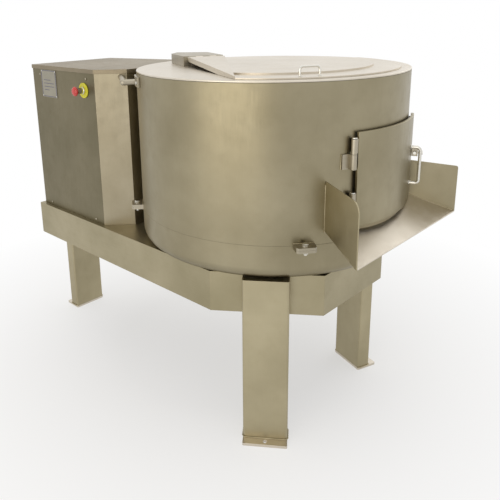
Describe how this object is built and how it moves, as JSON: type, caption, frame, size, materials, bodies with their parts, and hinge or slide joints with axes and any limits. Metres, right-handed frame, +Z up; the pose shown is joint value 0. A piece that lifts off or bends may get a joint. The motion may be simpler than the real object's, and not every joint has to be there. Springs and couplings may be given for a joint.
{
  "type": "centrifugal drum washer",
  "caption": "Stainless centrifugal washer: upright drum with a hinged top lid and a side discharge door over a chute, a motor cabinet beside it, on a hollow deck with stout legs.",
  "frame": {"origin": "middle of the bounding box, on the floor", "axes": "+X runs from the motor cabinet to the discharge chute, +Y to the rear, +Z up"},
  "size_m": [1.7514, 1.04, 1.3343],
  "materials": {
    "brushed_stainless": "brushed stainless sheet, warm grey, vertical grain",
    "satin_stainless": "satin stainless plate, lightly polished",
    "dull_stainless": "dull stainless underside and foot plates",
    "polished_stainless": "polished stainless fittings and fasteners",
    "cast_iron": "cast iron, dark grey",
    "motor_paint": "grey blue machine paint",
    "black_rubber": "black rubber",
    "red_plastic": "glossy red push button",
    "yellow_plastic": "yellow switch housing",
    "plate_aluminium": "blank anodised nameplate"
  },
  "bodies": {
    "washer_frame": {"bearing_housing": "cast_iron", "cabinet_casing": "brushed_stainless", "cabinet_front_panel": "brushed_stainless", "cabinet_top_cover": "satin_stainless", "chute_cheek_front": "brushed_stainless", "chute_cheek_rear": "brushed_stainless", "chute_floor": "satin_stainless", "deck_bottom_cover": "dull_stainless", "deck_shell": "brushed_stainless", "door_gasket": "black_rubber", "door_hinge_bracket_1": "satin_stainless", "door_hinge_bracket_2": "satin_stainless", "door_hinge_pin_1": "polished_stainless", "door_hinge_pin_2": "polished_stainless", "drain_outlet": "satin_stainless", "drive_belt_1": "black_rubber", "drive_belt_2": "black_rubber", "drum_bottom": "brushed_stainless", "drum_shell": "brushed_stainless", "foot_plate_front": "dull_stainless", "foot_plate_left": "dull_stainless", "foot_plate_rear": "dull_stainless", "inlet_flange": "satin_stainless", "inlet_pipe": "satin_stainless", "inlet_screw_1": "polished_stainless", "inlet_screw_2": "polished_stainless", "latch_keeper": "satin_stainless", "leg_front": "brushed_stainless", "leg_left": "brushed_stainless", "leg_rear": "brushed_stainless", "lid_hinge_box": "brushed_stainless", "lid_hinge_pin": "polished_stainless", "lower_bearing": "polished_stainless", "lug_bolt_1": "polished_stainless", "lug_bolt_2": "polished_stainless", "lug_bolt_3": "polished_stainless", "lug_bolt_4": "polished_stainless", "motor_body": "motor_paint", "nameplate": "plate_aluminium", "panel_screw_1": "polished_stainless", "panel_screw_2": "polished_stainless", "panel_screw_3": "polished_stainless", "panel_screw_4": "polished_stainless", "shaft_seal": "black_rubber", "stop_collar": "polished_stainless", "stop_plate": "yellow_plastic", "top_plate": "satin_stainless", "upper_bearing": "polished_stainless"},
    "rotor": {"rotor_plate": "satin_stainless", "rotor_shaft": "polished_stainless", "driven_pulley": "cast_iron"},
    "motor_rotor": {"motor_shaft": "polished_stainless", "motor_pulley": "cast_iron"},
    "top_lid": {"lid": "satin_stainless", "lid_handle": "polished_stainless"},
    "side_door": {"door": "brushed_stainless", "door_handle": "polished_stainless", "latch_block": "satin_stainless"},
    "door_latch": {"latch_bolt": "polished_stainless"},
    "stop_head": {"stop_button": "red_plastic"}
  },
  "joints": [
    {"name": "rotor_spin", "type": "hinge", "parent": "washer_frame", "child": "rotor", "pos_m": [0.25857, 0, 0.66], "axis": [0, 0, 1], "continuous": true},
    {"name": "motor_spin", "type": "hinge", "parent": "washer_frame", "child": "motor_rotor", "pos_m": [-0.48143, -0.2335, 0.7], "axis": [0, 0, 1], "continuous": true},
    {"name": "lid_hinge", "type": "hinge", "parent": "washer_frame", "child": "top_lid", "pos_m": [0.04001, -0.13633, 1.324], "axis": [-0.4493, -0.8934, 0], "range_deg": [0, 100]},
    {"name": "door_hinge", "type": "hinge", "parent": "washer_frame", "child": "side_door", "pos_m": [0.7581, -0.1998, 0.96], "axis": [0, 0, -1], "range_deg": [0, 90]},
    {"name": "latch_slide", "type": "slide", "parent": "side_door", "child": "door_latch", "axis": [-0.4305, 0.9026, 0], "range_m": [0, 0.015]},
    {"name": "stop_press", "type": "slide", "parent": "washer_frame", "child": "stop_head", "axis": [0, 1, 0], "range_m": [0, 0.005]}
  ],
  "couplings": [
    {"joint": "motor_spin", "follows": "rotor_spin", "ratio": 2.5}
  ]
}
